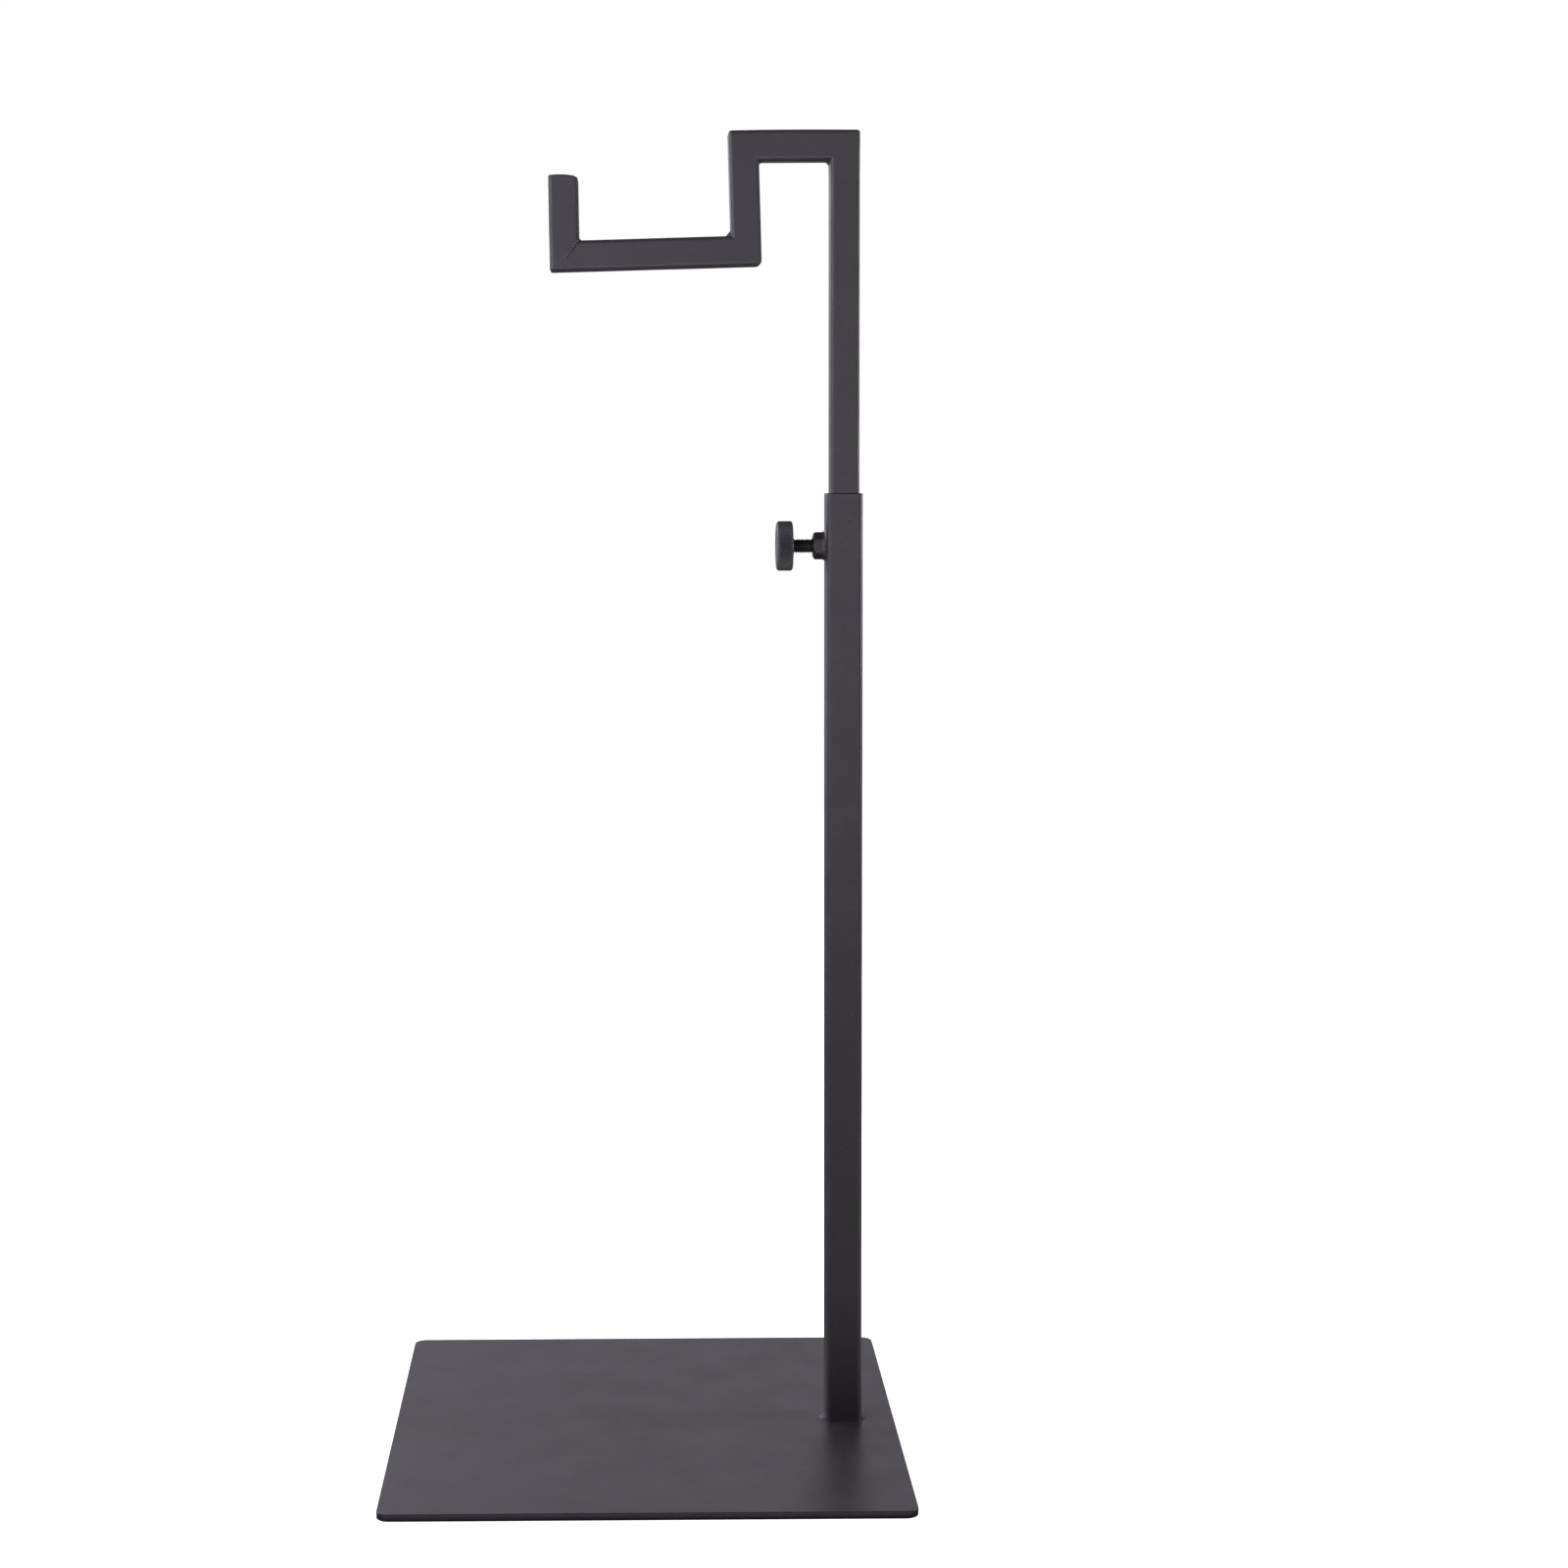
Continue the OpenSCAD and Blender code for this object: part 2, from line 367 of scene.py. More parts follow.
def ramp(nt, fac, stops):
    r = nt.nodes.new("ShaderNodeValToRGB")
    r.color_ramp.elements[0].position, r.color_ramp.elements[0].color = stops[0][0], (*stops[0][1], 1)
    r.color_ramp.elements[1].position, r.color_ramp.elements[1].color = stops[-1][0], (*stops[-1][1], 1)
    for pos, col in stops[1:-1]:
        e = r.color_ramp.elements.new(pos)
        e.color = (*col, 1)
    nt.links.new(fac, r.inputs["Fac"])
    return r.outputs["Color"]


def span(nt, value, lo0, hi0, lo1, hi1):
    m = nt.nodes.new("ShaderNodeMapRange")
    m.inputs["From Min"].default_value, m.inputs["From Max"].default_value = lo0, hi0
    m.inputs["To Min"].default_value, m.inputs["To Max"].default_value = lo1, hi1
    nt.links.new(value, m.inputs["Value"])
    return m.outputs["Result"]


def mix_rgb(nt, fac, a, b):
    m = nt.nodes.new("ShaderNodeMix")
    m.data_type = "RGBA"
    if isinstance(fac, float):
        m.inputs["Factor"].default_value = fac
    else:
        nt.links.new(fac, m.inputs["Factor"])
    for sock, val in ((m.inputs[6], a), (m.inputs[7], b)):
        if isinstance(val, tuple):
            sock.default_value = (*val, 1)
        else:
            nt.links.new(val, sock)
    return m.outputs[2]


def math_node(nt, op, a, b):
    m = nt.nodes.new("ShaderNodeMath")
    m.operation = op
    for sock, val in ((m.inputs[0], a), (m.inputs[1], b)):
        if isinstance(val, (int, float)):
            sock.default_value = val
        else:
            nt.links.new(val, sock)
    return m.outputs[0]


def bump(nt, height, strength, distance, normal=None):
    b = nt.nodes.new("ShaderNodeBump")
    b.inputs["Strength"].default_value = strength
    b.inputs["Distance"].default_value = distance
    nt.links.new(height, b.inputs["Height"])
    if normal is not None:
        nt.links.new(normal, b.inputs["Normal"])
    return b.outputs["Normal"]


def coat_material(name, dark, light, edge, rough, seed, ripple=0.0):
    """Matt powder coat: mottled tone, fine pebble grain, sparse specks, and a paler, smoother tone along edges that is
    partly edge wear and partly a painted edge highlight.
    """
    mat, nt, bsdf = new_material(name)
    co = nt.nodes.new("ShaderNodeTexCoord").outputs["Object"]
    mottle = tex_noise(nt, co, 21.0, 4.0, 0.55, (seed, 0, 0))
    fine_tone = tex_noise(nt, co, 260.0, 3.0, 0.6, (0, seed, 0))
    tone = math_node(nt, "ADD", math_node(nt, "MULTIPLY", mottle, 0.7), math_node(nt, "MULTIPLY", fine_tone, 0.3))
    colour = ramp(nt, tone, [(0.36, dark), (0.5, tuple((a + b) / 2 for a, b in zip(dark, light))), (0.64, light)])
    specks = tex_noise(nt, co, 620.0, 1.0, 0.4, (0, 0, seed))
    speck_mask = span(nt, specks, 0.735, 0.775, 0.0, 0.6)
    colour = mix_rgb(nt, speck_mask, colour, tuple(c * 0.45 for c in dark))
    pale = tex_noise(nt, co, 480.0, 1.0, 0.4, (seed, seed, 0))
    pale_mask = span(nt, pale, 0.75, 0.79, 0.0, 0.45)
    colour = mix_rgb(nt, pale_mask, colour, tuple(c * 1.5 for c in light))
    attr = nt.nodes.new("ShaderNodeAttribute")
    attr.attribute_name = "edge_wear_and_sheen"
    breakup = span(nt, tex_noise(nt, co, 95.0, 3.0, 0.6, (seed, 0, seed)), 0.35, 0.65, 0.25, 1.0)
    # the edge tone: partly wear, partly a painted highlight where light catches the edges
    wear_and_sheen = math_node(nt, "MULTIPLY", attr.outputs["Fac"], breakup)
    colour = mix_rgb(nt, math_node(nt, "MULTIPLY", wear_and_sheen, 0.45), colour, edge)
    nt.links.new(colour, bsdf.inputs["Base Color"])
    r_map = span(nt, tex_noise(nt, co, 48.0, 4.0, 0.6, (0, seed, seed)), 0.3, 0.7, rough - 0.035, rough + 0.045)
    r_map = math_node(nt, "SUBTRACT", r_map, math_node(nt, "MULTIPLY", wear_and_sheen, 0.06))
    nt.links.new(r_map, bsdf.inputs["Roughness"])
    bsdf.inputs["IOR"].default_value = 1.5
    bsdf.inputs["Metallic"].default_value = 0.0
    grain = tex_noise(nt, co, 2300.0, 2.0, 0.55, (seed, 0, 0))
    peel = tex_noise(nt, co, 640.0, 2.0, 0.5, (0, seed, 0))
    n = bump(nt, grain, 0.32, 0.00006)
    n = bump(nt, peel, 0.30, 0.00014, n)
    if ripple:
        wave = nt.nodes.new("ShaderNodeTexNoise")
        wave.inputs["Scale"].default_value = 900.0
        wave.inputs["Detail"].default_value = 3.0
        nt.links.new(co, wave.inputs["Vector"])
        n = bump(nt, wave.outputs["Fac"], ripple, 0.0003, n)
    nt.links.new(n, bsdf.inputs["Normal"])
    return mat


def steel_material(name, dark, light, edge, rough, metallic, seed, stretch):
    """Black oxide on steel: blotched blue-black, satin, with turning marks and bright worn edges."""
    mat, nt, bsdf = new_material(name)
    co = nt.nodes.new("ShaderNodeTexCoord").outputs["Object"]
    blotch = tex_noise(nt, co, 240.0, 4.0, 0.6, (seed, 0, 0))
    colour = ramp(nt, blotch, [(0.35, dark), (0.65, light)])
    attr = nt.nodes.new("ShaderNodeAttribute")
    attr.attribute_name = "edge_wear_and_sheen"
    breakup = span(nt, tex_noise(nt, co, 900.0, 3.0, 0.65, (0, seed, 0)), 0.4, 0.62, 0.1, 1.0)
    wear_and_sheen = math_node(nt, "MULTIPLY", attr.outputs["Fac"], breakup)
    colour = mix_rgb(nt, math_node(nt, "MULTIPLY", wear_and_sheen, 0.5), colour, edge)
    nt.links.new(colour, bsdf.inputs["Base Color"])
    r_map = span(nt, tex_noise(nt, co, 420.0, 3.0, 0.6, (0, 0, seed)), 0.3, 0.7, rough - 0.06, rough + 0.07)
    r_map = math_node(nt, "SUBTRACT", r_map, math_node(nt, "MULTIPLY", wear_and_sheen, 0.08))
    nt.links.new(r_map, bsdf.inputs["Roughness"])
    bsdf.inputs["Metallic"].default_value = metallic
    bsdf.inputs["IOR"].default_value = 1.5
    m = nt.nodes.new("ShaderNodeMapping")
    m.inputs["Scale"].default_value = stretch
    nt.links.new(co, m.inputs["Vector"])
    t = nt.nodes.new("ShaderNodeTexNoise")
    t.inputs["Scale"].default_value = 1.0
    t.inputs["Detail"].default_value = 2.0
    nt.links.new(m.outputs["Vector"], t.inputs["Vector"])
    n = bump(nt, t.outputs["Fac"], 0.2, 0.00005)
    n = bump(nt, tex_noise(nt, co, 3200.0, 2.0, 0.5, (seed, 0, seed)), 0.2, 0.00003, n)
    nt.links.new(n, bsdf.inputs["Normal"])
    return mat


# COAT_E is the paler edge tone: partly worn coat, partly a painted edge highlight
COAT_D, COAT_L, COAT_E = (0.0405, 0.0370, 0.0425), (0.0485, 0.0450, 0.0520), (0.085, 0.078, 0.088)
powder = coat_material("powder_coat", COAT_D, COAT_L, COAT_E, 0.43, 3.1)
# The welded nut gets a darker copy of the tube's coat: painted shade on the nut.
powder_nut_painted_shade = coat_material("powder_coat_nut_painted_shade", (0.031, 0.029, 0.032), (0.038, 0.036, 0.040), (0.072, 0.067, 0.075), 0.47, 6.4)
powder_base = coat_material("powder_coat_plate", COAT_D, COAT_L, COAT_E, 0.37, 8.7)
weld = coat_material("weld_coat", COAT_D, COAT_L, COAT_E, 0.43, 5.3, ripple=0.25)
# The foot beads get a paler copy of the coat: a painted highlight standing in for the light their upturned faces
# catch.
weld_foot_painted_highlight = coat_material("weld_coat_foot_painted_highlight", (0.070, 0.065, 0.072), (0.086, 0.080, 0.090), (0.12, 0.112, 0.124), 0.50, 5.3, 0.10)
oxide = steel_material("blackened_steel", (0.017, 0.016, 0.018), (0.028, 0.026, 0.030), (0.08, 0.08, 0.085), 0.42, 0.15, 1.7, (5200, 300, 300))
knurl_mat = steel_material("knurled_steel", (0.056, 0.055, 0.058), (0.078, 0.077, 0.080), (0.15, 0.15, 0.155), 0.50, 0.0, 4.9, (400, 2600, 2600))

# ---------------------------------------------------------------- base plate


def plate_outline(off):
    """Rounded square of the plate, drawn in by off, anticlockwise."""
    pts, h, r = [], BASE_W / 2 - off, max(0.3, BASE_R - off)
    for k in range(4):
        a0 = 90 * k
        for i in range(15):
            a = math.radians(a0 + 90 * i / 14)
            sx = 1 if k in (0, 3) else -1
            szz = 1 if k in (0, 1) else -1
            pts.append((sx * (h - r) + r * math.cos(a), szz * (h - r) + r * math.sin(a)))
        # points along the side, so that the long edge can waver
        nxt = 90 * (k + 1)
        nx = 1 if (k + 1) % 4 in (0, 3) else -1
        nz = 1 if (k + 1) % 4 in (0, 1) else -1
        a = math.radians(nxt)
        end = (nx * (h - r) + r * math.cos(a), nz * (h - r) + r * math.sin(a))
        start = pts[-1]
        for i in range(1, 24):
            f = i / 24
            pts.append((start[0] + (end[0] - start[0]) * f, start[1] + (end[1] - start[1]) * f))
    return pts


def base_plate():
    b = Build()
    r = 0.3
    layers = []
    for i in range(6):
        a = math.radians(90) * i / 5
        # the rounded rims get an edge weight: a paler rim tone, partly wear and partly a painted rim highlight
        layers.append((r - r * math.sin(a), r - r * math.cos(a), 0.15 + 0.35 * math.sin(2 * a)))
    stack = [(r + 0.35, 0.0, 0.0)] + [(o, z, e) for o, z, e in layers]
    stack += [(0.0, r + 0.15, 0.0), (0.0, BASE_T - r - 0.15, 0.0)]
    stack += [(o, BASE_T - z, e) for o, z, e in reversed(layers)] + [(r + 0.35, BASE_T, 0.0)]
    rings = []
    for off, z, e in stack:
        rings.append(b.ring([(x, y, z) for x, y in plate_outline(off)], [e] * len(plate_outline(off))))
    for r1, r2 in zip(rings, rings[1:]):
        b.skin(r1, r2)
    # the two flat faces: a few rings inward and a middle, so that the sheet isn't one face
    for end, z in ((rings[0], 0.0), (rings[-1], BASE_T)):
        prev = end
        for off in (8.0, 30.0, 60.0, 90.0):
            k = (BASE_W / 2 - off) / (BASE_W / 2)
            ring = b.ring([(x * k, y * k, z) for x, y in plate_outline(0.0)])
            b.skin(prev, ring)
            prev = ring
        b.fan(prev, b.point((0, 0, z)))
    return finish_piece("base_plate_skin", b, "stand", powder_base, ["base_plate"], uneven=0.0)


base_obj = base_plate()

# ---------------------------------------------------------------- outer tube


def outer_tube():
    b = Build()
    prof = square_profile(TUBE_W, TUBE_R)
    rim = 0.3
    zs = [BASE_T + 0.0, BASE_T + 0.25]
    z = BASE_T + 2.0
    while z < MOUTH_Z - 2.0:
        zs.append(z)
        z += 4.0
    zs += [MOUTH_Z - rim - 0.2]
    rings = []
    for z in zs:
        rings.append(b.ring([(POST_X + s, y, z) for s, y, _ in prof], [e for _, _, e in prof]))
    for i in range(5):
        a = math.radians(90) * i / 4
        d = rim - rim * math.cos(a)
        p = inset(prof, d)
        # the mouth's rounded rim gets edge weight: paler, partly wear and partly a painted highlight
        rings.append(b.ring([(POST_X + s, y, MOUTH_Z - rim + rim * math.sin(a)) for s, y, _ in p], [max(0.5, e) for _, _, e in p]))
    # inner wall, down to the plate
    hi_r = 0.35
    inner = square_profile(TUBE_W - 2 * TUBE_WALL, hi_r, hold=0.18)
    for i in range(4):
        a = math.radians(90) * i / 3
        d = -0.2 + 0.2 * math.sin(a)
        k = (6.3 - d) / 6.3
        rings.append(b.ring([(POST_X + s * k, y * k, MOUTH_Z - 0.2 + 0.2 * math.cos(a)) for s, y, _ in inner], [0.5] * len(inner)))
    for z in (MOUTH_Z - 4, MOUTH_Z - 60, MOUTH_Z - 160, 120.0, BASE_T):
        rings.append(b.ring([(POST_X + s, y, z) for s, y, _ in inner]))
    for r1, r2 in zip(rings, rings[1:]):
        b.skin(r1, r2)
    b.skin(rings[-1], rings[0])
    obj = finish_piece("outer_tube_skin", b, "stand", powder, ["outer_tube"], uneven=0.02)
    # the screw's hole through the left wall
    cut = bpy.data.meshes.new("cut")
    bm = bmesh.new()
    bmesh.ops.create_cone(bm, cap_ends=True, segments=48, radius1=3.5 * MM, radius2=3.5 * MM, depth=4 * MM,
                          matrix=Matrix.Translation((FACE_X * MM, 0, SCREW_Z * MM)) @ Matrix.Rotation(math.radians(90), 4, "Y"))
    bm.to_mesh(cut)
    bm.free()
    cutter = bpy.data.objects.new("cut", cut)
    scene.collection.objects.link(cutter)
    mod = obj.modifiers.new("hole", "BOOLEAN")
    mod.operation = "DIFFERENCE"
    mod.solver = "EXACT"
    mod.object = cutter
    obj.modifiers.move(1, 0)
    dg = bpy.context.evaluated_depsgraph_get()
    obj.modifiers["normals"].show_viewport = False
    dg.update()
    new = bpy.data.meshes.new_from_object(obj.evaluated_get(dg), preserve_all_data_layers=True, depsgraph=dg)
    obj.modifiers.remove(obj.modifiers["hole"])
    obj.modifiers["normals"].show_viewport = True
    obj.data = new
    new.set_sharp_from_angle(angle=math.radians(38))
    bpy.data.objects.remove(cutter)
    return obj


tube_obj = outer_tube()

# ---------------------------------------------------------------- upper post and hook


def inner_post():
    """The upper post: outer skin, and a hollow open at the bottom."""
    b = Build()
    u, n = heading(H_POST), left_of(heading(H_POST))
    length = (C1 - C0).length
    d1 = heading(M1)
    m1 = d1.dot(u) / d1.dot(n)
    rings = [(t, 0.0) for t in (0.25, 2.0)]
    t = 6.0
    while t < length - 8.5:
        rings.append((t, 0.0))
        t += 4.0
    rings += [(length - t, m1) for t in reversed(NEAR)]
    made = []
    # rounded foot of the wall
    inner = inset(PROFILE, BAR_WALL)
    made.append(b.ring([(C0.x + n.x * s, y, length - 12 + C0.y) for s, y, _ in inner]))
    made.append(b.ring([(C0.x + n.x * s, y, 0.2 + C0.y) for s, y, _ in inner]))
    p = inset(PROFILE, BAR_WALL - 0.2)
    made.append(b.ring([(C0.x + n.x * s, y, C0.y) for s, y, _ in p], [0.6] * len(p)))
    p = inset(PROFILE, 0.2)
    made.append(b.ring([(C0.x + n.x * s, y, C0.y) for s, y, _ in p], [0.6] * len(p)))
    for t, m in rings:
        # bare of coat wherever the outer tube can slide over it
        pts, wts = [], []
        for s, y, e in inset(PROFILE, COAT * (1 - smooth((t - length + 10.5) / 4.0))):
            q = C0 + n * s + u * (s * m + t)
            pts.append((q.x, y, q.y))
            wts.append(e)
        made.append(b.ring(pts, wts))
    for r1, r2 in zip(made, made[1:]):
        b.skin(r1, r2)
    b.cap(made[0])
    b.cap(made[-1])
    return finish_piece("inner_post_skin", b, "hook", powder, ["inner_post"], warp=frame_warp, uneven=0.02)


post_obj = inner_post()
for _name, _a, _b, _h, _ma, _mb in (
        ("top_bar", C1, C2, H_TOP, M1, M2),
        ("riser_bar", C2, C3, H_RISER, M2, M3),
        ("hook_bar", C3, C4, H_HOOK, M3, M4)):
    finish_piece(_name + "_skin", bar(_name, _a, _b, _h, _ma, _mb, _name == "hook_bar"), "hook", powder, [_name], warp=frame_warp, uneven=0.03)


def hook_tip():
    """The upturned tip, from the mitre to the plate that closes it."""
    b = Build()
    u, n = heading(H_TIP), left_of(heading(H_TIP))
    length = (C5 - C4).length
    d4 = heading(M4)
    m4 = d4.dot(u) / d4.dot(n)
    rings = [(t, m4) for t in NEAR]
    for i in range(1, 6):
        f = i / 6
        rings.append((NEAR[-1] + (length - 6.0 - NEAR[-1]) * f, m4 * (1 - f)))
    t = length - 6.0
    while t < length - 0.01:
        rings.append((t, 0.0))
        t += 0.25 if t > length - 1.6 else 0.8
    rings.append((length, 0.0))
    made = []
    for t, m in rings:
        # Near the mitre the outline draws in a trace and the edge weight rises: a paler seam line that partly paints
        # the seam's highlight.
        d = 0.04 * max(0.0, 1 - t / 0.3)
        pr = inset(PROFILE, d)
        pts = []
        for s, y, _ in pr:
            q = C4 + n * s + u * (s * m + t)
            pts.append((q.x, y, q.y))
        made.append(b.ring(pts, [max(e, 0.8 * max(0.0, 1 - t / 0.5)) for _, _, e in pr]))
    for r1, r2 in zip(made, made[1:]):
        b.skin(r1, r2)
    b.cap(made[0])
    # the top end is a fan of rings, because the closing plate's crown reaches into it
    prev = made[-1]
    for k in (0.85, 0.65, 0.45, 0.25, 0.1):
        ring = b.ring([((C5 + n * (s * k)).x, y * k, (C5 + n * (s * k)).y) for s, y, _ in PROFILE])
        b.skin(prev, ring)
        prev = ring
    b.fan(prev, b.point((C5.x, 0, C5.y)))
    return finish_piece("hook_tip_skin", b, "hook", powder, ["hook_tip"], warp=frame_warp, uneven=0.03)


def tip_cap():
    b = Build()
    u, n = heading(H_TIP), left_of(heading(H_TIP))
    soft = 0.55
    stack = [(0.0, t) for t in (0.0, 0.2, 0.4, 0.6, 0.8)]
    stack = [(0.0, t) for t in (0.0, 0.18, 0.36, 0.54, 0.72, CAP_T - soft)]
    for i in range(1, 6):
        a = math.radians(90) * i / 5
        stack.append((soft - soft * math.cos(a), CAP_T - soft + soft * math.sin(a)))
    made = []
    for d, t in stack:
        pr = inset(PROFILE, d)
        pts = []
        for s, y, _ in pr:
            q = C5 + n * s + u * t
            pts.append((q.x, y, q.y))
        # the rounded rim gets edge weight: a paler rim, partly wear and partly a painted highlight
        made.append(b.ring(pts, [max(e, 0.7 if d > 0 else 0.0) for _, _, e in pr]))
    for r1, r2 in zip(made, made[1:]):
        b.skin(r1, r2)
    for end, t in ((made[0], 0.0), (made[-1], CAP_T)):
        prev = end
        for k in (0.86, 0.78, 0.7, 0.6, 0.5, 0.4, 0.3, 0.2, 0.1):
            ring = b.ring([((C5 + n * (s * k) + u * t).x, y * k, (C5 + n * (s * k) + u * t).y) for s, y, _ in PROFILE])
            b.skin(prev, ring)
            prev = ring
        c = C5 + u * t
        b.fan(prev, b.point((c.x, 0, c.y)))
    return finish_piece("tip_cap_skin", b, "hook", powder, ["tip_cap"], warp=frame_warp, uneven=0.03, sharp=50)


hook_tip()
tip_cap()

# ---------------------------------------------------------------- weld beads


def bead(b, origin, u3, v3, along, half, leg_u, leg_v, bow, pitch, seed, grow=None, steps=0.16, end=None):
    """A rippled bead in the angle between faces that leave the line through origin along u3 and v3."""
    end = end if end is not None else 0.95 * max(leg_u, leg_v)
    count = max(8, int(2 * half / steps))
    rings = []
    for i in range(count + 1):
        y = -half + 2 * half * i / count
        over = abs(y) - (half - end)
        taper = math.sqrt(max(0.0, 1 - (over / end) ** 2)) if over > 0 else 1.0
        taper = max(taper, 0.06)
        wave = 0.5 + 0.5 * math.cos(2 * math.pi * (y / pitch + seed + 0.12 * noise.noise(Vector((y * 0.9, seed, 0)))))
        k = taper * (0.90 + 0.10 * wave + 0.09 * noise.noise(Vector((y * 0.8, seed * 3.1, 4.0))))
        if grow:
            k *= grow(y)
        lu, lv = leg_u * k, leg_v * k
        base = Vector(origin) + Vector(along) * y
        sect = [base - Vector(u3) * 0.12 - Vector(v3) * 0.12, base + Vector(u3) * lu - Vector(v3) * 0.12]
        for j in range(9):
            t = j / 8
            ripple = 1 + 0.035 * math.sin(2 * math.pi * (y / pitch + seed) + 2.2 * math.sin(math.pi * t))
            mid = bow * 4 * t * (1 - t)
            sect.append(base + Vector(u3) * (lu * ((1 - t) + mid) * ripple) + Vector(v3) * (lv * (t + mid) * ripple))
        sect.append(base + Vector(v3) * lv - Vector(u3) * 0.12)
        # the bead's face gets an edge weight that rises on the ripples: paler, partly wear and partly a painted
        # highlight
        edges = [0.0, 0.0] + [0.35 + 0.3 * wave] * 9 + [0.0]
        rings.append(b.ring(sect, edges))
    for r1, r2 in zip(rings, rings[1:]):
        b.skin(r1, r2)
    b.cap(rings[0])
    b.cap(rings[-1])


def v3(d):
    return Vector((d.x, 0.0, d.y))


def corner_piece(name, q, u, v, leg_u, leg_v, bow, seed, grow=None):
    b = Build()
    bead(b, (q.x, 0.0, q.y), v3(u), v3(v), (0, 1, 0), 4.9, leg_u, leg_v, bow, 1.9, seed, grow)
    return b


def ridge(b, start, direction, length, y_face, sign, width, height, seed, deep=0.35, lit_flank=-1):
    """A low rippled ridge on a flat face, tapering at its far end, with a painted highlight on one flank."""
    across = Vector((-direction.y, direction.x))
    count = 46
    rings = []
    for i in range(count + 1):
        f = i / count
        s = length * f
        body = math.sqrt(max(0.0, 1 - f ** 2.4)) * (0.72 + 0.28 * smooth(f / 0.12))
        w = width * (0.25 + 0.75 * body) * (1 + 0.12 * noise.noise(Vector((s * 0.9, seed, 1.0))))
        hgt = height * body * (0.86 + 0.14 * math.cos(2 * math.pi * s / 1.3 + seed)) + 0.002
        centre = start + direction * s
        sect = []
        for j in range(11):
            t = -1 + 2 * j / 10
            rise = hgt * (1 - t * t) ** 1.1
            p = centre + across * (t * w)
            sect.append((p.x, y_face + sign * rise, p.y))
        for t in (1.0, 0.0, -1.0):
            p = centre + across * (t * w * 0.98)
            sect.append((p.x, y_face - sign * deep, p.y))
        # one flank gets a raised edge weight: a painted highlight on the flank facing light from the upper left
        painted_highlight = [max(0.0, 1 - abs(-1 + 2 * j / 10 - 0.25 * lit_flank) * 1.4) for j in range(11)]
        rings.append(b.ring(sect, painted_highlight + [0.0] * 3))
    for r1, r2 in zip(rings, rings[1:]):
        b.skin(r1, r2)
    b.cap(rings[0])
    b.cap(rings[-1])


IN_POST_TOP = on_mitre(C1, M1, H_POST, HB)
IN_TOP_RISER = on_mitre(C2, M2, H_TOP, HB)
IN_RISER_HOOK = on_mitre(C3, M3, H_RISER, -HB)
IN_HOOK_TIP = on_mitre(C4, M4, H_HOOK, -HB)
b = corner_piece("weld_post_top", IN_POST_TOP, -heading(H_POST), heading(H_TOP), 1.7, 1.7, -0.07, 0.3)
finish_piece("weld_post_top_bead", b, "hook", weld, ["weld_post_top"], uneven=0.03, sharp=70)
b = corner_piece("weld_top_riser", IN_TOP_RISER, -heading(H_TOP), heading(H_RISER), 1.5, 1.5, -0.03, 1.1)
finish_piece("weld_top_riser_bead", b, "hook", weld, ["weld_top_riser"], uneven=0.03, sharp=70)
b = corner_piece("weld_riser_hook", IN_RISER_HOOK, -heading(H_RISER), heading(H_HOOK), 2.2, 2.0, 0.02, 2.4,
                 lambda y: 1.0 + 0.12 * math.exp(-((y + 2.2) / 1.3) ** 2))
finish_piece("weld_riser_hook_bead", b, "hook", weld, ["weld_riser_hook"], uneven=0.03, sharp=70)
b = corner_piece("weld_hook_tip", IN_HOOK_TIP, -heading(H_HOOK), heading(H_TIP), 1.15, 1.15, 0.0, 0.7)
mit = (Q_HOOK_TIP - IN_HOOK_TIP).normalized()
mit_len = (Q_HOOK_TIP - IN_HOOK_TIP).length
steep = Vector((mit.x * math.cos(0.14) - mit.y * math.sin(0.14), mit.x * math.sin(0.14) + mit.y * math.cos(0.14)))
ridge(b, IN_HOOK_TIP - mit * 0.1 + heading(H_TIP) * 0.7, steep, mit_len * 0.6, -HB - COAT, -1, 0.95, 0.5, 1.9)
ridge(b, IN_HOOK_TIP - mit * 0.1, mit, mit_len * 0.5, HB + COAT, 1, 0.8, 0.3, 5.2)
finish_piece("weld_hook_tip_bead", b, "hook", weld, ["weld_hook_tip"], uneven=0.03, sharp=70)

for side, label in ((-1, "left"), (1, "right")):
    b = Build()
    bead(b, (POST_X + side * TUBE_W / 2, 0.0, BASE_T), (side, 0, 0), (0, 0, 1), (0, 1, 0), 3.6, 2.6, 1.2, 0.06, 3.4, 0.4 + side * 0.35, end=3.4)
    finish_piece("foot_weld_" + label + "_bead", b, "stand", weld_foot_painted_highlight, ["foot_weld_" + label], uneven=0.02, sharp=70)

# the coat's thin fillet where the tube's front and back walls meet the plate
for side, label in ((-1, "front"), (1, "back")):
    b = Build()
    bead(b, (POST_X, side * TUBE_W / 2, BASE_T), (0, side, 0), (0, 0, 1), (1, 0, 0), 6.6, 0.85, 0.5, -0.06, 3.3, 0.2 + side * 0.3,
         lambda x: 0.45 + 0.62 * (1 - (x / 6.6) ** 2), end=1.2)
    finish_piece("foot_seam_" + label, b, "stand", powder, uneven=0.0, sharp=70)

# ---------------------------------------------------------------- nut, its weld, the thumbscrew


def around(x, rho, theta):
    """A point about the screw's axis: theta 0 is straight up."""
    return (x, -rho * math.sin(theta), SCREW_Z + rho * math.cos(theta))


def hex_radius(theta, af, soft):
    """Radius of a hexagon with corners up and down at this angle, its corners eased."""
    corner = af / math.sqrt(3)
    a = (theta % math.radians(60))
    a = min(a, math.radians(60) - a)          # angle from the nearest corner
    flat = (af / 2) / math.cos(math.radians(30) - a)
    limit = corner - soft
    return flat if flat < limit - soft else limit - soft + (flat - limit + soft) * soft / (corner - limit + soft)


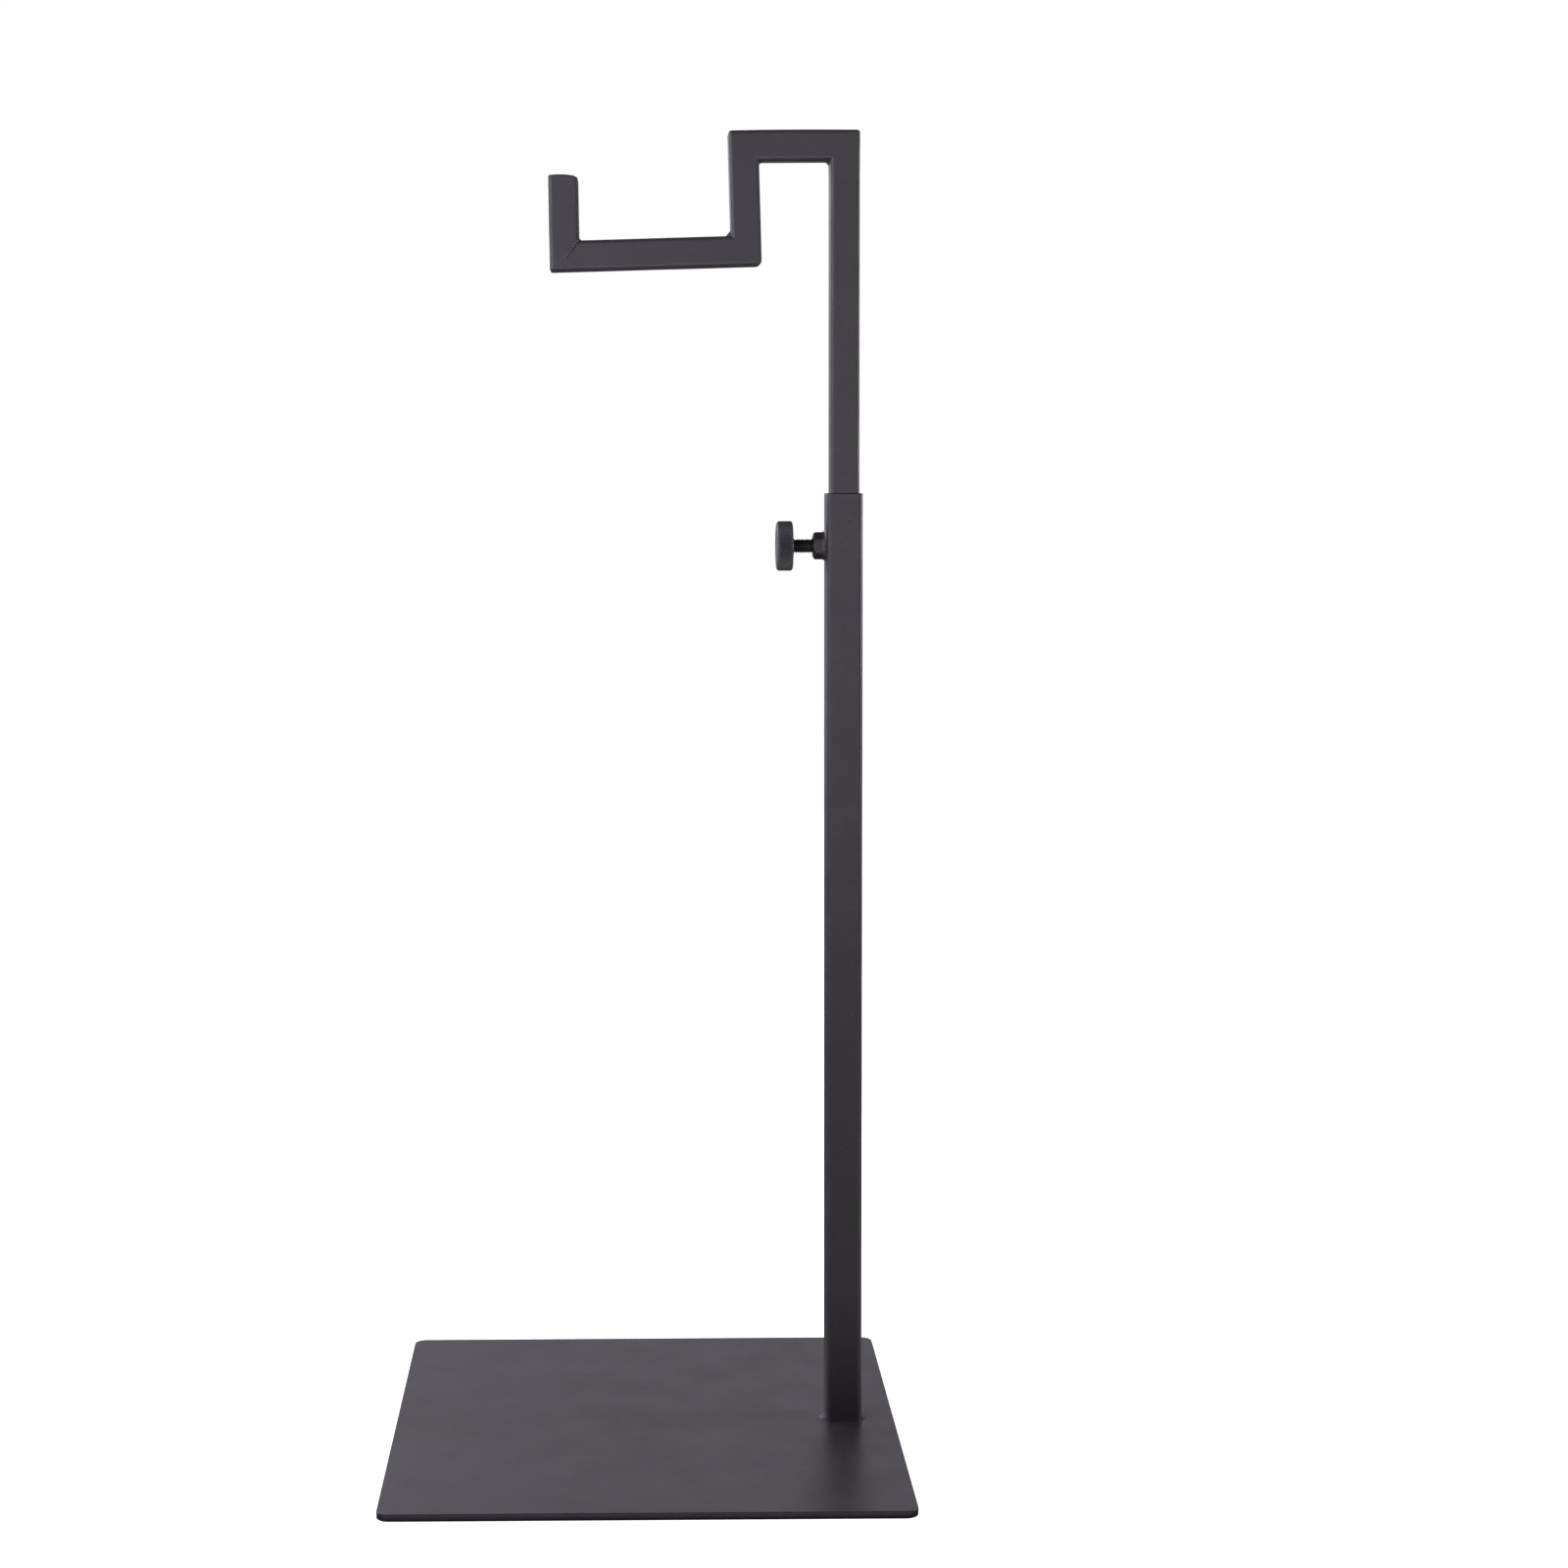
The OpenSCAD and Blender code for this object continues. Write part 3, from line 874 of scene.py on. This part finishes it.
def clamp_nut():
    b = Build()
    n = 144
    thetas = [2 * math.pi * i / n for i in range(n)]
    corner = NUT_AF / math.sqrt(3)
    cut = 1.15

    def limit(t):
        """How far a corner reaches at distance t from the tube, with the chamfer of the outer face."""
        over = t - (NUT_T - cut)
        return corner + 0.05 if over <= 0 else corner + 0.05 - over * (corner - NUT_AF / 2 + 0.42) / cut

    rings = []
    ts = [0.0, 0.4, 1.2, 2.4, 3.4, NUT_T - cut - 0.1]
    ts += [NUT_T - cut + cut * i / 12 for i in range(0, 12)]
    for t in ts:
        pts, e = [], []
        for th in thetas:
            r = min(hex_radius(th, NUT_AF, 0.16), limit(t))
            if t > NUT_T - 0.35:
                r -= 0.35 - math.sqrt(max(0.0, 0.35 ** 2 - (t - NUT_T + 0.35) ** 2))
            pts.append(around(FACE_X - t, r, th))
            # corners and the chamfer get full edge weight: paler, partly wear and partly a painted highlight
            e.append(1.0 if hex_radius(th, NUT_AF, 0.16) > corner - 0.4 or t > NUT_T - cut else 0.1)
        rings.append(b.ring(pts, e))
    for rho in (4.35, 4.0, 3.6, 3.38):
        rings.append(b.ring([around(FACE_X - NUT_T, rho, th) for th in thetas], [0.3] * n))
    for t, rho in ((NUT_T - 0.12, 3.22), (NUT_T - 0.35, 3.06), (2.5, 3.06), (0.0, 3.06)):
        rings.append(b.ring([around(FACE_X - t, rho, th) for th in thetas], [0.0] * n))
    for r1, r2 in zip(rings, rings[1:]):
        b.skin(r1, r2)
    b.skin(rings[-1], rings[0])
    return finish_piece("clamp_nut_skin", b, "stand", powder_nut_painted_shade, ["clamp_nut"], uneven=0.02, sharp=48)


def nut_weld():
    b = Build()
    n = 160
    rings = []
    top = 2.05
    grid = []
    for j in range(9):
        grid.append(j / 8)
    thetas = [2 * math.pi * i / n for i in range(n)]
    wave = []
    for th in thetas:
        wave.append(1 + 0.10 * math.cos(17 * th + 0.6 * math.sin(2 * th)) + 0.14 * noise.noise(Vector((math.cos(th) * 1.6, math.sin(th) * 1.6, 2.0))))
    for t in grid:
        pts, e = [], []
        for th, w in zip(thetas, wave):
            inner = hex_radius(th, NUT_AF, 0.16) - 0.06
            spread = 0.93 * w
            height = top * (0.9 + 0.1 * w)
            # hollow profile from the tube's face up to the nut's side
            r = inner + spread * (1 - t) ** 1.9
            x = height * t ** 1.25
            pts.append(around(FACE_X - x, r, th))
            e.append(0.3)
        rings.append(b.ring(pts, e))
    rings.append(b.ring([around(FACE_X - top * (0.9 + 0.1 * w), hex_radius(th, NUT_AF, 0.16) - 0.5, th) for th, w in zip(thetas, wave)]))
    rings.append(b.ring([around(FACE_X + 0.05, hex_radius(th, NUT_AF, 0.16) - 0.5, th) for th in thetas]))
    rings.append(b.ring([around(FACE_X + 0.05, hex_radius(th, NUT_AF, 0.16) + 0.80 * w, th) for th, w in zip(thetas, wave)]))
    for r1, r2 in zip(rings, rings[1:]):
        b.skin(r1, r2)
    b.skin(rings[-1], rings[0])
    return finish_piece("nut_weld_bead", b, "stand", weld, ["nut_weld"], uneven=0.02, sharp=70)


def screw_stud():
    """The shank: a collar at the head, then an M6 thread of 1 mm pitch to a coned point."""
    b = Build()
    n = 56
    length = 15.15
    xs = [-3.9, -3.7, 0.0]
    rings = []
    rings.append(b.ring([around(HEAD_X - 3.9, 2.3, 2 * math.pi * i / n) for i in range(n)]))
    rings.append(b.ring([around(HEAD_X - 3.7, 2.5, 2 * math.pi * i / n) for i in range(n)]))
    rings.append(b.ring([around(HEAD_X + 0.02, 2.5, 2 * math.pi * i / n) for i in range(n)]))
    for x, rho, e in ((0.04, 3.1, 0.4), (0.12, 3.22, 1.0), (0.3, 3.25, 0.6), (0.5, 3.22, 1.0), (0.66, 3.05, 0.5), (0.85, 2.62, 0.0)):
        rings.append(b.ring([around(HEAD_X + x, rho, 2 * math.pi * i / n) for i in range(n)], [e] * n))
    step = 1 / 14
    x = 0.95
    while x < length - 0.001:
        pts, ed = [], []
        for i in range(n):
            th = 2 * math.pi * i / n
            ph = (x + i / n) % 1.0
            tri = abs(ph - 0.5) * 2                     # 1 at the crest, 0 at the root
            shape = max(0.0, min(1.0, (tri - 0.16) / 0.66))
            lead = smooth((x - 0.9) / 0.8)
            crest = 2.97 - 0.72 * max(0.0, (x - (length - 0.8)) / 0.8)
            root = min(2.43, crest - 0.02)
            pts.append(around(HEAD_X + x, root + (crest - root) * shape * (0.35 + 0.65 * lead), th))
            ed.append(1.0 if shape > 0.97 else 0.0)
        rings.append(b.ring(pts, ed))
        x += step
    rings.append(b.ring([around(HEAD_X + length, 2.05, 2 * math.pi * i / n) for i in range(n)], [0.6] * n))
    rings.append(b.ring([around(HEAD_X + length, 1.2, 2 * math.pi * i / n) for i in range(n)]))
    for r1, r2 in zip(rings, rings[1:]):
        b.skin(r1, r2)
    b.fan(rings[0], b.point((HEAD_X - 3.9, 0, SCREW_Z)))
    b.fan(rings[-1], b.point((HEAD_X + length, 0, SCREW_Z)))
    return finish_piece("screw_stud_thread", b, "screw", oxide, ["screw_stud"], uneven=0.0, sharp=60)


def screw_head():
    """The knurled head: straight teeth all round, eased rims, and a slightly dished outer face."""
    b = Build()
    teeth, per = 72, 6
    n = teeth * per
    R, T = HEAD_D / 2, HEAD_T
    soft_o, soft_i = 1.25, 0.95
    prof = []                                            # (x from the inner face, radius, tooth share, edge)
    prof.append((-T + 0.16, 2.0, 0.0, 0.0))
    prof.append((-T + 0.15, 5.2, 0.0, 0.0))
    prof.append((-T + 0.10, 6.6, 0.0, 0.1))
    prof.append((-T + 0.02, 7.4, 0.0, 0.3))
    prof.append((-T, 8.1, 0.0, 0.3))
    for i in range(0, 9):
        a = math.radians(90) * i / 8
        prof.append((-T + soft_o - soft_o * math.cos(a), R - soft_o + soft_o * math.sin(a), max(0.0, (i - 4) / 4), 0.5 + 0.5 * math.sin(a * 2)))
    for x in (-T + soft_o + 0.25, -T * 0.55, -T * 0.35, -soft_i - 0.25):
        prof.append((x, R, 1.0, 0.25))
    for i in range(0, 9):
        a = math.radians(90) * i / 8
        prof.append((-soft_i + soft_i * math.sin(a), R - soft_i + soft_i * math.cos(a), max(0.0, 1 - i / 4), 0.5 + 0.5 * math.sin(a * 2)))
    prof.append((0.0, 8.3, 0.0, 0.0))
    prof.append((0.0, 5.0, 0.0, 0.0))
    prof.append((0.0, 2.75, 0.0, 0.3))
    prof.append((-0.2, 2.56, 0.0, 0.0))
    prof.append((-4.1, 2.56, 0.0, 0.0))
    rings = []
    for x, rho, share, e in prof:
        pts, ed = [], []
        for i in range(n):
            th = 2 * math.pi * i / n
            tri = abs((i / per) % 1.0 - 0.5) * 2          # 1 at a tooth's crest, 0 in its groove
            depth = 0.45 * share * (1 - min(1.0, tri / 0.8))
            pts.append(around(HEAD_X + x, rho - depth, th))
            ed.append(e if share == 0 else max(e * 0.6, 0.9 if tri > 0.9 else 0.0))
        rings.append(b.ring(pts, ed))
    for r1, r2 in zip(rings, rings[1:]):
        b.skin(r1, r2)
    b.fan(rings[0], b.point((HEAD_X - T + 0.16, 0, SCREW_Z)))
    b.fan(rings[-1], b.point((HEAD_X - 4.1, 0, SCREW_Z)))
    return finish_piece("screw_head_knurled", b, "knob", knurl_mat, ["screw_head"], uneven=0.0, sharp=50)


clamp_nut()
nut_weld()
screw_stud()
screw_head()

# ---------------------------------------------------------------- floor, background and light


def floor_piece():
    mesh = bpy.data.meshes.new("floor")
    s = 9.0
    mesh.from_pydata([(-s, -s, -0.0002), (s, -s, -0.0002), (s, s, -0.0002), (-s, s, -0.0002)], [], [(0, 1, 2, 3)])
    obj = bpy.data.objects.new("floor", mesh)
    scene.collection.objects.link(obj)
    mat, nt, bsdf = new_material("floor")
    co = nt.nodes.new("ShaderNodeTexCoord").outputs["Object"]
    tone = ramp(nt, tex_noise(nt, co, 1.5, 2.0, 0.5), [(0.3, (0.80, 0.80, 0.80)), (0.7, (0.83, 0.83, 0.83))])
    nt.links.new(tone, bsdf.inputs["Base Color"])
    bsdf.inputs["Roughness"].default_value = 0.9
    bsdf.inputs["Specular IOR Level"].default_value = 0.0
    bsdf.inputs["Emission Color"].default_value = (1, 1, 1, 1)
    bsdf.inputs["Emission Strength"].default_value = 1.03
    mesh.materials.append(mat)
    obj.visible_diffuse = False
    obj.visible_glossy = False
    return obj


floor_piece()

world = bpy.data.worlds.new("world")
scene.world = world
world.use_nodes = True
wt = world.node_tree
wt.nodes.clear()
w_out = wt.nodes.new("ShaderNodeOutputWorld")
w_mix = wt.nodes.new("ShaderNodeMixShader")
w_path = wt.nodes.new("ShaderNodeLightPath")
w_seen = wt.nodes.new("ShaderNodeBackground")
w_seen.inputs["Color"].default_value = (1, 1, 1, 1)
w_seen.inputs["Strength"].default_value = 1.02
w_light = wt.nodes.new("ShaderNodeBackground")
w_light.inputs["Color"].default_value = (1.0, 0.985, 1.0, 1)
WORLD = 0.01
w_light.inputs["Strength"].default_value = WORLD
wt.links.new(w_path.outputs["Is Camera Ray"], w_mix.inputs["Fac"])
wt.links.new(w_light.outputs["Background"], w_mix.inputs[1])
wt.links.new(w_seen.outputs["Background"], w_mix.inputs[2])
wt.links.new(w_mix.outputs["Shader"], w_out.inputs["Surface"])


def area(name, at, toward, size_x, size_y, radiance, colour=(1, 1, 1), spread=180.0):
    """A soft rectangular light of this radiance, in mm, that faces a point. It is not seen by the camera."""
    data = bpy.data.lights.new(name, "AREA")
    data.shape = "RECTANGLE"
    data.size, data.size_y = size_x * MM, size_y * MM
    data.energy = radiance * math.pi * (size_x * MM) * (size_y * MM)
    data.color = colour
    data.spread = math.radians(spread)
    obj = bpy.data.objects.new(name, data)
    obj.location = Vector(at) * MM
    d = Vector(toward) - Vector(at)
    obj.rotation_euler = d.to_track_quat("-Z", "Y").to_euler()
    scene.collection.objects.link(obj)
    obj.visible_camera = False
    return obj


# name, position, the point it faces, width, height, radiance, colour
LIGHTS = [
    ("bounce_front_edge", (0, -123, 0.5), (0, -123, 500), 900, 32, 0.541, (1.0, 0.955, 1.06)),
    ("bounce_front_near", (0, -230, 0.5), (0, -230, 500), 1400, 180, 0.421, (1.0, 0.955, 1.06)),
    ("bounce_left", (-700, 100, 0.5), (-700, 100, 500), 1180, 900, 0.128, (1.0, 0.955, 1.06)),
    ("back_low", (0, 2000, 420), (0, 0, 300), 3200, 760, 0.461, (1.0, 0.955, 1.06)),
    ("back_high", (0, 2000, 1250), (0, 0, 300), 3200, 860, 0.61, (1.0, 0.955, 1.06)),
    ("left_60_mid", (-980, -470, 720), (60, 0, 400), 300, 460, 6.79, (1.0, 0.955, 1.06)),
    ("left_back_mid", (-950, 650, 820), (60, 0, 400), 400, 400, 9.76, (1.0, 0.955, 1.06)),
    ("left_rear_mid", (-600, 1150, 820), (60, 0, 400), 400, 460, 4.17, (1.0, 0.955, 1.06)),
    ("near_left", (-480, -760, 620), (-10, 0, 480), 300, 300, 7.32, (1.0, 0.955, 1.06)),
    ("right_90_low", (1150, 0, 260), (60, 0, 200), 320, 460, 0.268, (1.0, 0.955, 1.06)),
    ("left_90_low", (-1100, 0, 320), (60, 0, 320), 320, 300, 3.54, (1.0, 0.955, 1.06)),
    ("left_back_low", (-950, 650, 320), (60, 0, 320), 400, 300, 3, (1.0, 0.955, 1.06)),
    ("right_90_level", (1150, 0, 420), (60, 0, 420), 320, 300, 19.0, (1.0, 0.955, 1.06)),
    ("bounce_front_horizon", (0, -2700, 0.5), (0, -2700, 500), 3200, 1800, 7.75, (1.0, 0.955, 1.06)),
    ("bounce_right_near", (310, -110, 0.5), (310, -110, 500), 360, 520, 0.314, (1.0, 0.955, 1.06)),
]
for _n, _at, _to, _sx, _sy, _rad, _col in LIGHTS:
    area(_n, _at, _to, _sx, _sy, _rad, _col)
